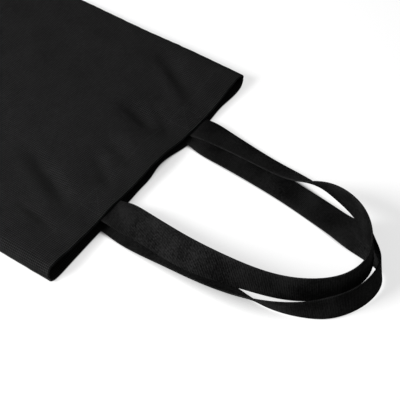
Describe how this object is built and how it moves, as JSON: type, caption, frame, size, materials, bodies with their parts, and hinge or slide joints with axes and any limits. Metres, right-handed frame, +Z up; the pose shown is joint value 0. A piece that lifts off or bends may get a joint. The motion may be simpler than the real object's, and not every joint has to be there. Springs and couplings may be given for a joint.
{
  "type": "canvas tote bag",
  "caption": "Flat canvas tote bag lying on its back panel, with hemmed mouth, inside seams and a pair of long webbing handles sewn inside the mouth.",
  "frame": {"origin": "middle of the back panel's underside, which lies on the ground", "axes": "+Z up from the back panel to the front panel, +Y from the bottom seam to the mouth and handles, +X to the bag's right-hand side"},
  "size_m": [0.38, 0.7139, 0.0614],
  "materials": {
    "canvas": "matte black plain-weave cotton canvas",
    "webbing": "matte black ribbed cotton webbing",
    "thread": "matte black polyester sewing thread"
  },
  "bodies": {
    "bag": {"front_panel": "canvas", "back_panel": "canvas", "front_hem": "canvas", "back_hem": "canvas", "left_side_seam": "canvas", "right_side_seam": "canvas", "bottom_seam": "canvas", "front_handle_ends": "webbing", "back_handle_ends": "webbing", "front_hem_stitching": "thread", "back_hem_stitching": "thread", "front_handle_stitching": "thread", "back_handle_stitching": "thread", "left_seam_stitching": "thread", "right_seam_stitching": "thread", "bottom_seam_stitching": "thread"},
    "back_handle_body": {"back_handle": "webbing", "front_handle_roots": "webbing"},
    "front_handle_body": {"front_handle": "webbing"}
  },
  "joints": [
    {"name": "handles_lift", "type": "hinge", "parent": "bag", "child": "back_handle_body", "pos_m": [0, 0.2109, 0.0162], "axis": [1, 0, 0], "range_deg": [0, 80]},
    {"name": "front_handle_fold", "type": "hinge", "parent": "back_handle_body", "child": "front_handle_body", "pos_m": [0, 0.2235, 0.0208], "axis": [1, 0, 0], "range_deg": [0, 75]}
  ]
}
